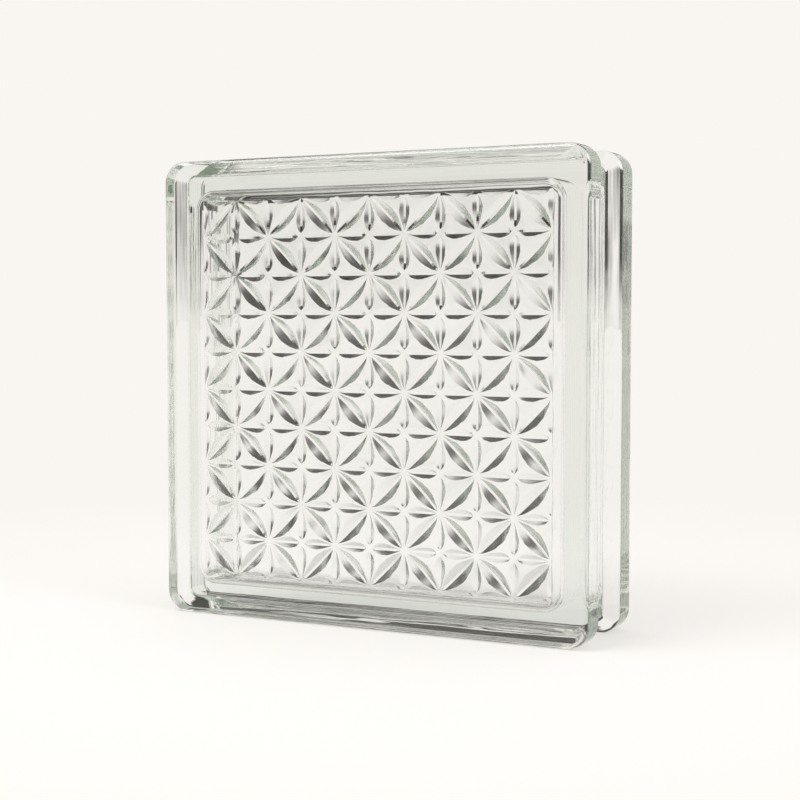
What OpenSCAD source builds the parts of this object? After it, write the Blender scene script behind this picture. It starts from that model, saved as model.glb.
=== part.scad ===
// Square hollow glass block: two panes joined by a web all round, fused into one piece of glass.
// A key groove for mortar runs round its edges, between a rim at the front and a rim at the rear.
// A lattice of eight-rayed stars stands on the inside of the front pane, made of leaf-shaped ribs.
// The block stands on its lower edge: width along X, front face towards -Y, height along Z.

/* [Block] */
// Side of the square face
face_side = 190; // [150:1:240]
// Thickness from the front face to the rear face
block_depth = 50; // [46:1:100]
// Radius of the four corners, seen from the front
corner_radius = 9; // [8:0.5:14]

/* [Edge] */
// Depth of each rim, from its face to the mouth of the key groove
rim_depth = 14; // [11:0.5:16]
// Radius that rounds both edges of a rim
rim_round = 2.2; // [1:0.1:3]
// Depth of the key groove below the rims
key_depth = 6; // [4.5:0.1:6.5]
// Lean of the flanks of the key groove, in degrees off the face of the block
key_lean = 30; // [20:1:40]
// Radius of the fillets along the floor of the key groove
key_fillet = 2; // [1:0.1:2.5]

/* [Cavity] */
// Thickness of each pane, outside the lattice
pane = 9; // [6:0.5:12]
// Width of the plain frame between the outer edge and the lattice
frame_width = 16.5; // [15.5:0.5:24]
// Width of the flat land between the lattice and the fillet of the cavity
land = 1.5; // [1.5:0.1:2]
// Radius of the fillet between a pane and the web
cavity_fillet = 3; // [2:0.5:4]
// Radius of the four corners of the cavity, seen from the front
cavity_corner = 8.5; // [8.5:0.5:9]

/* [Star lattice] */
// Number of cells along each side of the lattice
cells = 10; // [6:2:12]
// Half width of the upright and level ribs at their widest, as a share of a cell
grid_rib = 0.14; // [0.08:0.01:0.15]
// Half width of the diagonal ribs at their widest, as a share of a cell
diagonal_rib = 0.21; // [0.1:0.01:0.22]
// Slope of the flanks of the upright and level ribs, in degrees
grid_flank = 24; // [10:1:40]
// Slope of the flanks of the diagonal ribs, in degrees
diagonal_flank = 30; // [10:1:40]
// Bare length round each crossing, as a share of a cell
crossing_gap = 0.09; // [0.08:0.01:0.2]

/* [Hidden] */
$fn = 96;
// Steps along each rib from tip to tip
rib_steps = 4;
// Power that moves the widest part of an upright or level rib away from its star
blunt_tip = 1.5;
// Powers that fill out the leaf shapes towards their tips
grid_fullness = 0.6;
diagonal_fullness = 0.8;
// Height of the field of the lattice above the land
lattice_step = 0.4;
// Depth of the root of the lattice inside the pane
lattice_root = 3;
// Centre of the round at the inner edge of a rim, seen in the section of the edge
rim_x = corner_radius - rim_round;
rim_y = rim_depth - rim_round;
// Direction square to the flank of the key groove, in the same section
lean_normal = [sin(key_lean), cos(key_lean)];
// Centre of the fillet along the floor of the key groove, in the same section
fillet_x = corner_radius - key_depth + key_fillet;
fillet_y = rim_y + (rim_round + key_fillet + (rim_x - fillet_x) * lean_normal.x) / lean_normal.y;
cavity_depth = block_depth - 2 * pane;
cavity_side = face_side - 2 * (frame_width - land - cavity_fillet);
lattice_side = face_side - 2 * frame_width;
cell = lattice_side / cells;
field_level = cavity_depth / 2 - lattice_step;
root_level = cavity_depth / 2 + lattice_root;

// Section through half the edge of the block: a rim, the leaning flank of the key groove and half its floor.
// X runs outwards from the axis of a corner, and the face of the block lies at Y = 0
module half_edge_section() {
    difference() {
        polygon([
            [0, 0],
            [rim_x, 0],
            [corner_radius, rim_round],
            [corner_radius, rim_y],
            [rim_x, rim_y] + rim_round * lean_normal,
            [fillet_x, fillet_y] - key_fillet * lean_normal,
            [fillet_x - key_fillet, fillet_y],
            [fillet_x - key_fillet, block_depth / 2],
            [0, block_depth / 2]
        ]);
        translate([fillet_x, fillet_y])
            circle(key_fillet);
    }
    for (y = [rim_round, rim_y])
        translate([rim_x, y])
            circle(rim_round);
}

// Section through the whole edge, centred on the middle of the thickness
module edge_section() {
    translate([0, -block_depth / 2])
        half_edge_section();
    mirror([0, 1])
        translate([0, -block_depth / 2])
            half_edge_section();
}

// Section through the edge of the cavity, with both fillets
module cavity_section() {
    straight = cavity_depth / 2 - cavity_fillet;
    translate([0, -cavity_depth / 2])
        square([cavity_corner - cavity_fillet, cavity_depth]);
    translate([0, -straight])
        square([cavity_corner, 2 * straight]);
    for (side = [-1, 1])
        translate([cavity_corner - cavity_fillet, side * straight])
            circle(cavity_fillet);
}

// Square slab lying flat, with the section given as a child carried round its four sides and corners
module slab(side, radius, depth) {
    run = side - 2 * radius;
    translate([-run / 2, -run / 2, -depth / 2])
        cube([run, run, depth]);
    for (turn = [0:90:270])
        rotate([0, 0, turn])
            translate([run / 2, run / 2, 0]) {
                rotate_extrude(angle = 90)
                    children();
                rotate([90, 0, 0])
                    linear_extrude(run)
                        children();
            }
}

// Crossing (i, j) of the lattice
function crossing(i, j) = [(i - cells / 2) * cell, (j - cells / 2) * cell];

// A point of the plan at a height
function lift(p, z) = concat(p, z);

// Whether crossing p is the centre of a star, where diagonal ribs meet too
function is_star(p) = round((p.x + p.y) / cell) % 2 != 0;

// Whether the rib between crossings a and b is a diagonal one
function is_diagonal(a, b) = is_star(a) && is_star(b);

// Share of a rib's full size at step k from a to b: a leaf, on a level or upright rib widest away from its star
function swell(a, b, k) =
    let (t = k / rib_steps)
    is_diagonal(a, b)
        ? pow(sin(180 * t), diagonal_fullness)
        : pow(sin(180 * pow(is_star(a) ? t : 1 - t, blunt_tip)), grid_fullness);

// Half width at the widest part of the rib between crossings a and b
function rib_half(a, b) = cell * (is_diagonal(a, b) ? diagonal_rib : grid_rib);

// Height at the same place
function rib_height(a, b) = rib_half(a, b) * tan(is_diagonal(a, b) ? diagonal_flank : grid_flank);

// Step k of the way from tip to tip of the rib between crossings a and b, always worked out in the same direction
function along(a, b, k) =
    b < a ? along(b, a, rib_steps - k) :
    let (gap = crossing_gap * cell / norm(b - a))
    a + (b - a) * (gap + (1 - 2 * gap) * k / rib_steps);

// Step k of the crest of the rib between a and b
function crest(a, b, k) = lift(along(a, b, k), field_level - rib_height(a, b) * swell(a, b, k));

// Step k of the foot of the same rib, on the side of crossing c
function edge(a, b, c, k) =
    let (normal = [a.y - b.y, b.x - a.x] / norm(b - a))
    let (inward = normal * (c - a) > 0 ? normal : -normal)
    lift(along(a, b, k) + inward * rib_half(a, b) * swell(a, b, k), field_level);

// Facets of the flank of a rib on the side of crossing c
function flank(a, b, c) = [
    for (k = [0:rib_steps - 1])
        let (top = crest(a, b, k), top_next = crest(a, b, k + 1))
        let (foot = edge(a, b, c, k), foot_next = edge(a, b, c, k + 1))
        each [
            if (k < rib_steps - 1) [foot, top_next, foot_next],
            if (k > 0) [foot, top, top_next]
        ]
];

// Facets of the field round crossing b, between the tips of its ribs towards a and c
function field_corner(a, b, c) =
    let (tip_in = edge(a, b, c, rib_steps), tip_out = edge(b, c, a, 0))
    let (edge_in = edge(a, b, c, rib_steps - 1), edge_out = edge(b, c, a, 1))
    [[lift(b, field_level), tip_out, tip_in], [tip_in, tip_out, edge_out], [tip_in, edge_out, edge_in]];

// Facets of the middle of the field of a triangle, as a fan
function field_middle(a, b, c) =
    let (centre = lift((a + b + c) / 3, field_level))
    let (rim = [
        for (side = [[a, b, c], [b, c, a], [c, a, b]])
            for (k = [1:rib_steps - 1])
                edge(side[0], side[1], side[2], k)
    ])
    [for (n = [0:len(rim) - 1]) [centre, rim[n], rim[(n + 1) % len(rim)]]];

// All the facets inside the triangle between crossings a, b and c, which follow each other clockwise
function triangle_facets(a, b, c) = [
    each flank(a, b, c),
    each flank(b, c, a),
    each flank(c, a, b),
    each field_corner(a, b, c),
    each field_corner(b, c, a),
    each field_corner(c, a, b),
    each field_middle(a, b, c)
];

// Facets of a cell, split along the diagonal between its two star crossings
function cell_facets(i, j) =
    let (p = crossing(i, j), q = crossing(i, j + 1))
    let (r = crossing(i + 1, j + 1), s = crossing(i + 1, j))
    (i + j) % 2 == 0
        ? [each triangle_facets(p, q, s), each triangle_facets(r, s, q)]
        : [each triangle_facets(q, r, p), each triangle_facets(s, p, r)];

// Facets of the wall and the root behind one step of the border, from crossing a on to crossing b
function border_facets(a, b) =
    let (foot = lift((a + b) / 2, root_level))
    let (wall = [
        lift(b, root_level),
        lift(b, field_level),
        for (k = [rib_steps:-1:0]) crest(a, b, k),
        lift(a, field_level),
        lift(a, root_level)
    ])
    let (root = [lift(b, root_level), foot, lift(a, root_level)])
    [
        for (n = [0:len(wall) - 2]) [foot, wall[n], wall[n + 1]],
        for (n = [0:1]) [[0, 0, root_level], root[n + 1], root[n]]
    ];

// Crossings of the border in clockwise order
border = [
    for (j = [0:cells - 1]) crossing(0, j),
    for (i = [0:cells - 1]) crossing(i, cells),
    for (j = [cells:-1:1]) crossing(cells, j),
    for (i = [cells:-1:1]) crossing(i, 0)
];

// Plate with the lattice on its inner side, rooted in the pane
module lattice_plate() {
    facets = [
        for (i = [0:cells - 1])
            for (j = [0:cells - 1])
                each cell_facets(i, j),
        for (n = [0:len(border) - 1])
            each border_facets(border[n], border[(n + 1) % len(border)])
    ];
    polyhedron(
        points = [for (facet = facets) each facet],
        faces = [for (n = [0:len(facets) - 1]) [3 * n, 3 * n + 2, 3 * n + 1]]
    );
}

// The fused block, standing on its lower rims
module glass_block() {
    color([0.80, 0.84, 0.80, 0.5])
        translate([0, 0, face_side / 2])
            rotate([90, 0, 0]) {
                difference() {
                    slab(face_side, corner_radius, block_depth)
                        edge_section();
                    slab(cavity_side, cavity_corner, cavity_depth)
                        cavity_section();
                }
                lattice_plate();
            }
}

glass_block();
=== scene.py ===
"""Hollow glass block with a pressed star lattice, standing on a pale floor in a plain studio."""
import math

import bpy
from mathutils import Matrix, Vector


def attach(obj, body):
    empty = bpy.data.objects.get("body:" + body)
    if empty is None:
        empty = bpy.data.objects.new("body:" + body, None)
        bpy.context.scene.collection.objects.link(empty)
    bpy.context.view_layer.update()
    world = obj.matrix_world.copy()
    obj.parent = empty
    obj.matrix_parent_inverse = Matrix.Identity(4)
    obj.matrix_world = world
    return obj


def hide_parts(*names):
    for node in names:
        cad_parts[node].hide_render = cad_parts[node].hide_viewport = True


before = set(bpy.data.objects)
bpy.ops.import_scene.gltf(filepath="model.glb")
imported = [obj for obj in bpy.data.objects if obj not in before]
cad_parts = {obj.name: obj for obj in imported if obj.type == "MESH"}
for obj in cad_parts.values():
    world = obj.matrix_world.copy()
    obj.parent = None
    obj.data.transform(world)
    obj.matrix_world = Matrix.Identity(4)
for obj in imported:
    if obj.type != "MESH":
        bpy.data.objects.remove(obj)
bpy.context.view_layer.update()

# Sizes of the block in millimetres, as in the part's source
MM = 0.001
FACE_SIDE = 190.0
BLOCK_DEPTH = 50.0
CORNER_RADIUS = 9.0
RIM_DEPTH = 14.0
RIM_ROUND = 2.2
KEY_DEPTH = 6.0
KEY_FILLET = 2.0
PANE = 9.0
FRAME_WIDTH = 16.5
LAND = 1.5
CAVITY_FILLET = 3.0
CAVITY_CORNER = 8.5
LATTICE_STEP = 0.4
# Lean of the key groove's flanks and slopes of the ribs' flanks, in degrees
KEY_LEAN = 30.0
GRID_FLANK = 24.0
DIAGONAL_FLANK = 30.0
# Cells along a side of the lattice
CELLS = 10
# Half widths of the ribs and bare length at each crossing, as shares of a cell
GRID_RIB = 0.14
DIAGONAL_RIB = 0.21
CROSSING_GAP = 0.09
# Powers that shape the ribs
BLUNT_TIP = 1.5
GRID_FULLNESS = 0.6
DIAGONAL_FULLNESS = 0.8

# Fineness of the mesh
CORNER_STEPS = 14
ROUND_STEPS = 7
RIB_STEPS = 14
# Half width of the worn crest of a rib, in millimetres
CREST = 0.5
# Unevenness of pressed glass: shares of a rib's width and foot, degrees of its slope, and lean of a field
WIDTH_SPREAD = 0.07
FOOT_SPREAD = 0.06
SLOPE_SPREAD = 2.5
FIELD_LEAN = 0.045
# Numbers that mix up a place in scatter(), and a shift that tells the two sides of a rib apart there
MIX_FACTORS = (12.9898, 78.233, 37.719, 53.17, 9.71)
MIX_SCALE = 43758.5453
SIDE_SHIFT = 0.3
# Decimals of a millimetre that tell two points apart, and a length that counts as none
POINT_DECIMALS = 4
NO_LENGTH = 1e-9

HALF_SIDE = FACE_SIDE / 2
HALF_DEPTH = BLOCK_DEPTH / 2
CAVITY_HALF = HALF_DEPTH - PANE
LATTICE_HALF = HALF_SIDE - FRAME_WIDTH
CELL = 2 * LATTICE_HALF / CELLS
FIELD_Y = -CAVITY_HALF + LATTICE_STEP
TO_FRONT = (0, -1, 0)
TO_REAR = (0, 1, 0)

# Clear glass: absorption in its body, roughness of the film on it and of the ribs' flanks
GLASS_IOR = 1.52
GLASS_TINT = (0.735, 0.785, 0.735, 1)
GLASS_DENSITY = 13.0
FILM_ROUGHNESS = 0.02
FLANK_ROUGHNESS = 0.16
# Waves in its surface, and streaks that run round its edges, close together through the depth
WAVE_SCALE = 38.0
STREAK_SCALE = (14.0, 420.0, 14.0)
# Clouds of the film, and the range of their noise over which it grows
FILM_SCALE = 160.0
FILM_RANGE = (0.45, 0.75)

# Viewing direction of the photograph, with lengths in metres
AZIMUTH = math.radians(26.96)
ELEVATION = math.radians(3.09)
DISTANCE = 0.6532
AIM = Vector((0.004, 0.0, 0.0911))
FOCAL_PIXELS = 1593
PHOTO_PIXELS = 800
FORWARD = Vector((-math.sin(AZIMUTH), math.cos(AZIMUTH), 0))
RIGHT = Vector((math.cos(AZIMUTH), math.sin(AZIMUTH), 0))
VIEWPOINT = AIM - (FORWARD * math.cos(ELEVATION) - Vector((0, 0, math.sin(ELEVATION)))) * DISTANCE

# Pale background, the same for the camera and for what the glass shows, and the paper of the floor
PALE = (0.95, 0.92, 0.88, 1)
PAPER = (0.84, 0.83, 0.81, 1)
# Strength of the even light that the world gives to everything else
ROOM_LIGHT = 0.9
# Half side of the floor, and the distances between which its paper turns to background, with the shares there
FLOOR_HALF = 15.0
PAPER_REACH = (0.1, 0.45)
BACKGROUND_SHARE = (0.55, 1.0)
# Dark flags that give the glass its dark lines and that the camera doesn't see. Each has its cover by degrees
# to the right of straight behind the block, and then by the sine of the height above the horizon
FLAG = (0.03, 0.026, 0.021, 1)
ALL_HEIGHTS = [(0.0, 0.25), (0.035, 1.0), (1.0, 1.0)]
FLAGS = {
    "left": (
        [(-180, 0), (-58, 0), (-50, 1), (-11.5, 1), (-8.5, 0), (180, 0)],
        ALL_HEIGHTS,
    ),
    "front_left": (
        [(-180, 0), (-136, 0), (-130, 1), (-92, 1), (-86, 0), (180, 0)],
        ALL_HEIGHTS,
    ),
    "right": (
        [(-180, 0), (8.5, 0), (11.5, 1), (19, 1), (23, 0), (180, 0)],
        [(0.0, 0.25), (0.035, 1), (0.08, 1), (0.13, 0), (1.0, 0)],
    ),
    "above": (
        [(-180, 0), (-14, 0), (-9, 1), (10, 1), (15, 0), (180, 0)],
        [(0.0, 0), (0.105, 0), (0.14, 1), (0.42, 1), (0.55, 0), (1.0, 0)],
    ),
}
# Softboxes: place, width and height in metres, and power in watts
SOFTBOX_AIM = Vector((0, 0, 0.1))
SOFTBOXES = {
    "top_softbox": ((-0.5, -0.7, 1.1), (0.9, 0.6), 9.0),
    "side_softbox": ((1.1, -0.2, 0.7), (0.5, 0.8), 5.0),
}
# Light runs a long way along the rims by total reflection before it comes out
LIGHT_BOUNCES = 48


class Shell:
    """Collects faces with a normal at every corner, and joins corners that lie at the same point."""

    def __init__(self):
        self.index = {}
        self.points = []
        self.faces = []
        self.normals = []
        self.dull = []

    def point(self, p):
        """Number of the point at a place, added where there is none yet."""
        key = tuple(round(c, POINT_DECIMALS) for c in p)
        if key not in self.index:
            self.index[key] = len(self.points)
            self.points.append(p)
        return self.index[key]

    def face(self, corners, normals, dull=0.0):
        """Adds a face, without the corners that fall together."""
        ids = [self.point(p) for p in corners]
        keep = [k for k in range(len(ids)) if ids[k] != ids[k - 1]]
        if len(keep) > 2:
            self.faces.append([ids[k] for k in keep])
            self.normals.extend(normals[k] for k in keep)
            self.dull.append(dull)

    def mesh(self, name):
        """The finished mesh in metres, with its normals and its dull faces."""
        mesh = bpy.data.meshes.new(name)
        mesh.from_pydata([tuple(c * MM for c in p) for p in self.points], [], self.faces)
        mesh.polygons.foreach_set("use_smooth", [True] * len(mesh.polygons))
        mesh.update()
        mesh.normals_split_custom_set(self.normals)
        mesh.attributes.new("dull", "FLOAT", "FACE").data.foreach_set("value", self.dull)
        return mesh


def arc(centre_r, centre_y, radius, start, end, hollow=False):
    """Points (r, y) of an arc with their normals, which face outwards or, where it is hollow, its centre."""
    side = -1 if hollow else 1
    made = []
    for k in range(ROUND_STEPS + 1):
        angle = math.radians(start + (end - start) * k / ROUND_STEPS)
        r, y = math.cos(angle), math.sin(angle)
        made.append(((centre_r + radius * r, centre_y + radius * y), (side * r, side * y)))
    return made


def mirrored(section):
    """The same section seen from the other face, to follow on from it."""
    return [((r, -y), (nr, -ny)) for (r, y), (nr, ny) in reversed(section)]


def turns():
    """(corner's signs, angle) of each step round the four corners, seen from the front."""
    signs = [(1, 1), (-1, 1), (-1, -1), (1, -1)]
    return [
        (signs[quarter], math.radians(90 * (quarter + k / CORNER_STEPS)))
        for quarter in range(4)
        for k in range(CORNER_STEPS + 1)
    ]


def ring(core, r, y):
    """Points of an upright rounded square, with its corners turned about those of a core square."""
    return [
        (sx * core + r * math.cos(angle), y, HALF_SIDE + sz * core + r * math.sin(angle))
        for (sx, sz), angle in turns()
    ]


def sweep(shell, section, core, inside=False):
    """Carries a section round the rounded square. Inside, the surface faces the middle."""
    side = -1 if inside else 1
    angles = [angle for _, angle in turns()]
    count = len(angles)
    rings = [ring(core, r, y) for (r, y), _ in section]
    for n in range(len(section) - 1):
        for k in range(count):
            m = (k + 1) % count
            corners = [(n, k), (n, m), (n + 1, m), (n + 1, k)]
            if not inside:
                corners.reverse()
            normals = []
            for row, column in corners:
                r, y = section[row][1]
                angle = angles[column]
                normals.append((side * r * math.cos(angle), side * y, side * r * math.sin(angle)))
            shell.face([rings[row][column] for row, column in corners], normals)


def outside(shell):
    """Both faces, the rims and the key groove."""
    core = HALF_SIDE - CORNER_RADIUS
    rim_r = CORNER_RADIUS - RIM_ROUND
    rim_y = RIM_DEPTH - RIM_ROUND
    lean = math.radians(KEY_LEAN)
    floor_r = CORNER_RADIUS - KEY_DEPTH + KEY_FILLET
    floor_y = rim_y + (RIM_ROUND + KEY_FILLET + (rim_r - floor_r) * math.sin(lean)) / math.cos(lean)
    half = [
        *arc(rim_r, RIM_ROUND - HALF_DEPTH, RIM_ROUND, -90, 0),
        *arc(rim_r, rim_y - HALF_DEPTH, RIM_ROUND, 0, 90 - KEY_LEAN),
        *arc(floor_r, floor_y - HALF_DEPTH, KEY_FILLET, 270 - KEY_LEAN, 180, hollow=True),
    ]
    sweep(shell, half + mirrored(half), core)
    front = ring(core, rim_r, -HALF_DEPTH)
    rear = ring(core, rim_r, HALF_DEPTH)
    shell.face(front, [TO_FRONT] * len(front))
    shell.face(rear[::-1], [TO_REAR] * len(rear))


def cavity(shell):
    """Walls, fillets and the plain rear of the cavity, and the land and the step round the lattice."""
    core = HALF_SIDE - (FRAME_WIDTH - LAND - CAVITY_FILLET) - CAVITY_CORNER
    flat_r = CAVITY_CORNER - CAVITY_FILLET
    half = arc(flat_r, CAVITY_FILLET - CAVITY_HALF, CAVITY_FILLET, -90, 0)
    sweep(shell, half + mirrored(half), core, inside=True)
    rear = ring(core, flat_r, CAVITY_HALF)
    shell.face(rear, [TO_FRONT] * len(rear))
    front = ring(core, flat_r, -CAVITY_HALF)
    count = CORNER_STEPS + 1
    step_normals = [(0, 0, 1), (-1, 0, 0), (0, 0, -1), (1, 0, 0)]
    for quarter, step_normal in enumerate(step_normals):
        corner_arc = front[quarter * count:(quarter + 1) * count]
        side = border(quarter)
        low = [(x, -CAVITY_HALF, z) for x, _, z in side]
        for p, q in zip(corner_arc, corner_arc[1:]):
            shell.face([low[0], q, p], [TO_REAR] * 3)
        land = [corner_arc[-1], *low, front[(quarter + 1) % 4 * count]]
        shell.face(land, [TO_REAR] * len(land))
        for n in range(len(side) - 1):
            shell.face([low[n], side[n], side[n + 1], low[n + 1]], [step_normal] * 4)


def crossing(i, j):
    """Crossing (i, j) of the lattice, as (x, z)."""
    return (i * CELL - LATTICE_HALF, HALF_SIDE - LATTICE_HALF + j * CELL)


def on_field(p):
    """A point (x, z) at the level of the lattice's field."""
    return (p[0], FIELD_Y, p[1])


def is_star(p):
    """Whether a crossing is the centre of a star, where diagonal ribs meet too."""
    return round((p[0] + p[1] - HALF_SIDE) / CELL) % 2 != 0


def between(p, q, t):
    """The point at a share t of the way from p to q."""
    return (p[0] + (q[0] - p[0]) * t, p[1] + (q[1] - p[1]) * t)


def scatter(*place):
    """A number from -1 to 1 that looks random and is always the same at the same place."""
    mixed_up = math.sin(sum(c * factor for c, factor in zip(place, MIX_FACTORS))) * MIX_SCALE
    return 2 * (mixed_up - math.floor(mixed_up)) - 1


class Rib:
    """The leaf-shaped rib between two crossings: its crest line, and its foot on either side."""

    made = {}

    def __init__(self, a, b):
        self.a = a
        self.b = b
        self.diagonal = is_star(a) and is_star(b)
        length = math.dist(a, b)
        self.way = ((b[0] - a[0]) / length, (b[1] - a[1]) / length)
        self.gap = CROSSING_GAP * CELL / length
        share = DIAGONAL_RIB if self.diagonal else GRID_RIB
        self.half = CELL * share * (1 + WIDTH_SPREAD * scatter(*a, *b))
        flank = DIAGONAL_FLANK if self.diagonal else GRID_FLANK
        self.slope = math.tan(math.radians(flank + SLOPE_SPREAD * scatter(*b, *a)))

    def at(self, k, aside):
        """Point (x, z) at step k along the rib and some way to its side."""
        x, z = between(self.a, self.b, self.gap + (1 - 2 * self.gap) * k / RIB_STEPS)
        return (x - self.way[1] * aside, z + self.way[0] * aside)

    def width(self, k):
        """Half width at step k: a leaf, on an upright or level rib widest away from its star."""
        t = k / RIB_STEPS
        if self.diagonal:
            return self.half * max(math.sin(math.pi * t), 0) ** DIAGONAL_FULLNESS
        away = (t if is_star(self.a) else 1 - t) ** BLUNT_TIP
        return self.half * max(math.sin(math.pi * away), 0) ** GRID_FULLNESS

    def crest(self, k, side):
        """The worn crest at step k, on its centre line (side 0) or along its edge on one side."""
        width = self.width(k)
        worn = min(CREST, width / 2)
        x, z = self.at(k, side * worn)
        return (x, FIELD_Y + self.slope * (width - worn), z)

    def normal(self, k, side):
        """Normal of the flank on one side at step k, from half a step before it to half a step after."""
        low = max(k - 0.5, 0)
        high = min(k + 0.5, RIB_STEPS)
        run = math.dist(self.at(low, 0), self.at(high, 0))
        rise = (self.width(high) - self.width(low)) / run
        lean_x = self.slope * (-self.way[1] * side - rise * self.way[0])
        lean_z = self.slope * (self.way[0] * side - rise * self.way[1])
        return tuple(Vector((lean_x, 1, lean_z)).normalized())

    def foot(self, k, side):
        """The slightly uneven foot at step k on one side."""
        uneven = 1 + FOOT_SPREAD * scatter(*self.a, *self.b, k + SIDE_SHIFT * side)
        return on_field(self.at(k, side * self.width(k) * uneven))


def rib(a, b):
    """The one rib between two crossings, named either way round, and 1 or -1 for its direction."""
    key = tuple(sorted((a, b)))
    if key not in Rib.made:
        Rib.made[key] = Rib(*key)
    return Rib.made[key], 1 if key[0] == a else -1


def steps(direction):
    """Steps along a rib, forwards or backwards."""
    return range(RIB_STEPS + 1) if direction > 0 else range(RIB_STEPS, -1, -1)


def crest_line(a, b):
    """Points along the crest from crossing a to crossing b."""
    made, direction = rib(a, b)
    return [on_field(a), *(made.crest(k, 0) for k in steps(direction)), on_field(b)]


def border(quarter):
    """Points along one side of the lattice, from corner to corner, anticlockwise from the front."""
    corners = [(CELLS, CELLS), (0, CELLS), (0, 0), (CELLS, 0)]
    i0, j0 = corners[quarter]
    i1, j1 = corners[(quarter + 1) % 4]
    di = (i1 - i0) // CELLS
    dj = (j1 - j0) // CELLS
    crossings = [crossing(i0 + n * di, j0 + n * dj) for n in range(CELLS + 1)]
    points = []
    for a, b in zip(crossings, crossings[1:]):
        points += crest_line(a, b)[:-1]
    return points + [on_field(crossings[-1])]


def square_to(p, q, r):
    """Direction square to the plane through three points."""
    return (Vector(q) - Vector(p)).cross(Vector(r) - Vector(p))


def facet(shell, corners):
    """One flat face, turned to look into the cavity. Two of its corners may fall together."""
    normal = square_to(corners[0], corners[1], corners[-1])
    if normal.length < NO_LENGTH:
        normal = square_to(corners[1], corners[2], corners[-1])
    shell.face(corners, [tuple(normal.normalized())] * len(corners))


def triangle(shell, a, b, c):
    """The field between three crossings, anticlockwise from the front, with its half ribs."""
    field = []
    for p, q in ((a, c), (c, b), (b, a)):
        made, direction = rib(p, q)
        side = -direction
        order = list(steps(direction))
        field += [on_field(p), *(made.foot(k, side) for k in order)]
        for k, m in zip(order, order[1:]):
            near = made.normal(k, side)
            far = made.normal(m, side)
            flank = [made.foot(k, side), made.crest(k, side), made.crest(m, side), made.foot(m, side)]
            shell.face(flank, [near, near, far, far], dull=1.0)
            facet(shell, [made.crest(k, side), made.crest(k, 0), made.crest(m, 0), made.crest(m, side)])
    lean = Vector((FIELD_LEAN * scatter(*a, *b, 1), 1, FIELD_LEAN * scatter(*b, *c, 2))).normalized()
    shell.face(field, [tuple(lean)] * len(field))


def lattice(shell):
    """Every cell, split along the diagonal between its two star crossings."""
    for i in range(CELLS):
        for j in range(CELLS):
            p = crossing(i, j)
            q = crossing(i, j + 1)
            r = crossing(i + 1, j + 1)
            s = crossing(i + 1, j)
            if (i + j) % 2 == 0:
                triangle(shell, p, s, q)
                triangle(shell, r, q, s)
            else:
                triangle(shell, q, p, r)
                triangle(shell, s, r, p)


def new_node(tree, kind, settings=(), links=()):
    """A shader node with values set on it or its sockets, and links made into them."""
    made = tree.nodes.new("ShaderNode" + kind)
    for name, value in dict(settings).items():
        if isinstance(name, str) and hasattr(made, name):
            setattr(made, name, value)
        else:
            made.inputs[name].default_value = value
    for name, source in dict(links).items():
        tree.links.new(source, made.inputs[name])
    return made


def empty_tree(owner):
    """The node tree of a material or world, with nothing in it yet."""
    owner.use_nodes = True
    owner.node_tree.nodes.clear()
    return owner.node_tree


def combined(tree, operation, first, second):
    """Two values put together by a Math node."""
    return new_node(tree, "Math", {"operation": operation}, {0: first, 1: second}).outputs[0]


def mapped(tree, source, old, new):
    """A value moved from one range to another."""
    ranges = {"From Min": old[0], "From Max": old[1], "To Min": new[0], "To Max": new[1]}
    return new_node(tree, "MapRange", ranges, {"Value": source}).outputs["Result"]


def noise(tree, place, scale, detail, roughness):
    """Cloudy values over a place."""
    settings = {"Scale": scale, "Detail": detail, "Roughness": roughness}
    return new_node(tree, "TexNoise", settings, {"Vector": place}).outputs["Fac"]


def ramp(tree, source, stops):
    """Greys over a value from 0 to 1."""
    made = new_node(tree, "ValToRGB", links={"Fac": source})
    elements = made.color_ramp.elements
    while len(elements) < len(stops):
        elements.new(0.5)
    for element, (place, value) in zip(elements, stops):
        element.position = place
        element.color = (value, value, value, 1)
    return made.outputs["Color"]


def glass_material():
    """Clear glass with faint waves and drawn streaks, a thin film, and duller flanks on the ribs."""
    material = bpy.data.materials.new("clear_glass")
    tree = empty_tree(material)
    place = new_node(tree, "TexCoord").outputs["Object"]
    waves = noise(tree, place, scale=WAVE_SCALE, detail=2.0, roughness=0.4)
    wavy = new_node(tree, "Bump", {"Strength": 0.4, "Distance": 0.0006}, {"Height": waves})
    drawn = new_node(tree, "VectorMath", {"operation": "MULTIPLY", 1: STREAK_SCALE}, {0: place}).outputs[0]
    streaks = noise(tree, drawn, scale=1.0, detail=2.0, roughness=0.45)
    streaky = new_node(
        tree, "Bump", {"Strength": 0.7, "Distance": 0.0003},
        {"Height": streaks, "Normal": wavy.outputs["Normal"]},
    )
    film = noise(tree, place, scale=FILM_SCALE, detail=4.0, roughness=0.5)
    film_finish = mapped(tree, film, FILM_RANGE, (0.0, FILM_ROUGHNESS))
    dull = new_node(tree, "Attribute", {"attribute_name": "dull"}).outputs["Fac"]
    finish = new_node(
        tree, "Math", {"operation": "MULTIPLY_ADD", 1: FLANK_ROUGHNESS}, {0: dull, 2: film_finish}
    )
    glass = new_node(
        tree, "BsdfPrincipled",
        {"Base Color": (1, 1, 1, 1), "IOR": GLASS_IOR, "Transmission Weight": 1.0},
        {"Roughness": finish.outputs[0], "Normal": streaky.outputs["Normal"]},
    )
    body = new_node(tree, "VolumeAbsorption", {"Color": GLASS_TINT, "Density": GLASS_DENSITY})
    new_node(tree, "OutputMaterial", links={"Surface": glass.outputs[0], "Volume": body.outputs[0]})
    return material


def look_at(made, place, aim):
    """Puts a camera or lamp at a place and points it at another."""
    made.location = place
    made.rotation_euler = (Vector(aim) - Vector(place)).to_track_quat("-Z", "Y").to_euler()


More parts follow.
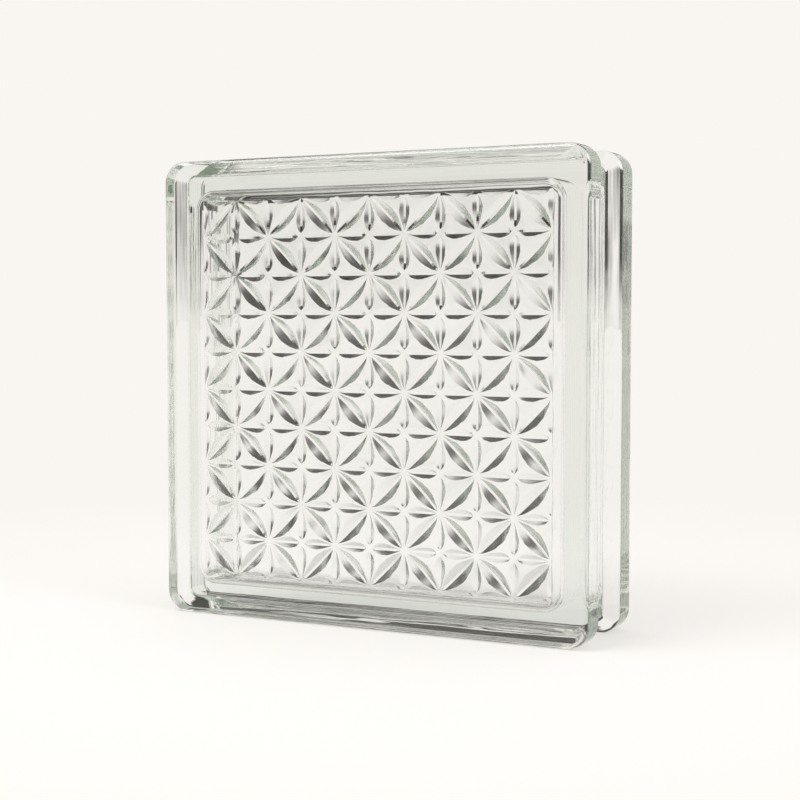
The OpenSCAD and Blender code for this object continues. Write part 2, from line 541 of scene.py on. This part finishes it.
def camera():
    """The camera of the photograph."""
    data = bpy.data.cameras.new("camera")
    data.lens = data.sensor_width * FOCAL_PIXELS / PHOTO_PIXELS
    data.clip_start = 0.01
    made = bpy.data.objects.new("camera", data)
    look_at(made, VIEWPOINT, AIM)
    bpy.context.scene.collection.objects.link(made)
    bpy.context.scene.camera = made


def seen_rays(tree):
    """1 for rays from the camera, through glass or off its surface."""
    rays = new_node(tree, "LightPath").outputs
    past_glass = combined(tree, "MAXIMUM", rays["Is Transmission Ray"], rays["Is Glossy Ray"])
    return combined(tree, "MAXIMUM", rays["Is Camera Ray"], past_glass)


def dot(tree, vector, axis):
    """Length of a vector along an axis."""
    settings = {"operation": "DOT_PRODUCT", 1: tuple(axis)}
    return new_node(tree, "VectorMath", settings, {0: vector}).outputs["Value"]


def turn_stops(stops):
    """Stops given in degrees from straight behind the block, for a ramp over a whole turn."""
    return [(0.5 + degrees / 360, value) for degrees, value in stops]


def turn(tree, direction):
    """Share of a whole turn of a direction, 0.5 straight behind the block and more to the right."""
    angle = combined(tree, "ARCTAN2", dot(tree, direction, RIGHT), dot(tree, direction, FORWARD))
    return mapped(tree, angle, (-math.pi, math.pi), (0.0, 1.0))


def studio_world():
    """The pale background with the flags in it, which the camera doesn't see, and even light for the rest."""
    world = bpy.data.worlds.new("studio")
    bpy.context.scene.world = world
    tree = empty_tree(world)
    direction = new_node(tree, "TexCoord").outputs["Generated"]
    height = new_node(tree, "SeparateXYZ", links={0: direction}).outputs["Z"]
    share = turn(tree, direction)
    shown = new_node(tree, "Background", {"Color": PALE, "Strength": 1.0}).outputs[0]
    dark = new_node(tree, "Background", {"Color": FLAG, "Strength": 1.0}).outputs[0]
    from_camera = new_node(tree, "LightPath").outputs["Is Camera Ray"]
    past_camera = mapped(tree, from_camera, (0.0, 1.0), (1.0, 0.0))
    for sides, heights in FLAGS.values():
        across = ramp(tree, share, turn_stops(sides))
        upward = ramp(tree, height, heights)
        place = combined(tree, "MULTIPLY", across, upward)
        cover = combined(tree, "MULTIPLY", place, past_camera)
        shown = new_node(tree, "MixShader", links={0: cover, 1: shown, 2: dark}).outputs[0]
    light = new_node(tree, "Background", {"Color": (1, 1, 1, 1), "Strength": ROOM_LIGHT}).outputs[0]
    both = new_node(tree, "MixShader", links={0: seen_rays(tree), 1: light, 2: shown})
    new_node(tree, "OutputWorld", links={"Surface": both.outputs[0]})


def floor():
    """Pale paper that keeps the shadow near the block and turns to background further off."""
    corners = [(x * FLOOR_HALF, y * FLOOR_HALF, 0) for x, y in ((-1, -1), (1, -1), (1, 1), (-1, 1))]
    mesh = bpy.data.meshes.new("floor")
    mesh.from_pydata(corners, [], [(0, 1, 2, 3)])
    made = bpy.data.objects.new("floor", mesh)
    bpy.context.scene.collection.objects.link(made)
    material = bpy.data.materials.new("pale_floor")
    tree = empty_tree(material)
    place = new_node(tree, "NewGeometry").outputs["Position"]
    reach = new_node(tree, "VectorMath", {"operation": "LENGTH"}, {0: place}).outputs["Value"]
    fade = mapped(tree, reach, PAPER_REACH, BACKGROUND_SHARE)
    pale_share = combined(tree, "MULTIPLY", seen_rays(tree), fade)
    paper = new_node(tree, "BsdfDiffuse", {"Color": PAPER})
    background = new_node(tree, "Emission", {"Color": PALE, "Strength": 1.0})
    both = new_node(
        tree, "MixShader", links={0: pale_share, 1: paper.outputs[0], 2: background.outputs[0]}
    )
    new_node(tree, "OutputMaterial", links={"Surface": both.outputs[0]})
    mesh.materials.append(material)


def softbox(name, place, size, power):
    """A soft lamp that looks at the block and isn't seen through the glass."""
    data = bpy.data.lights.new(name, "AREA")
    data.shape = "RECTANGLE"
    data.size, data.size_y = size
    data.energy = power
    made = bpy.data.objects.new(name, data)
    look_at(made, place, SOFTBOX_AIM)
    made.visible_transmission = False
    bpy.context.scene.collection.objects.link(made)


shell = Shell()
outside(shell)
cavity(shell)
lattice(shell)
block = bpy.data.objects.new("star_glass_block", shell.mesh("star_glass_block"))
bpy.context.scene.collection.objects.link(block)
block.data.materials.append(glass_material())
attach(block, "root")
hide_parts("glass_block")

camera()
studio_world()
floor()
for name, (place, size, power) in SOFTBOXES.items():
    softbox(name, place, size, power)

scene = bpy.context.scene
scene.view_settings.view_transform = "Standard"
scene.cycles.max_bounces = LIGHT_BOUNCES
scene.cycles.transmission_bounces = LIGHT_BOUNCES
scene.cycles.glossy_bounces = LIGHT_BOUNCES
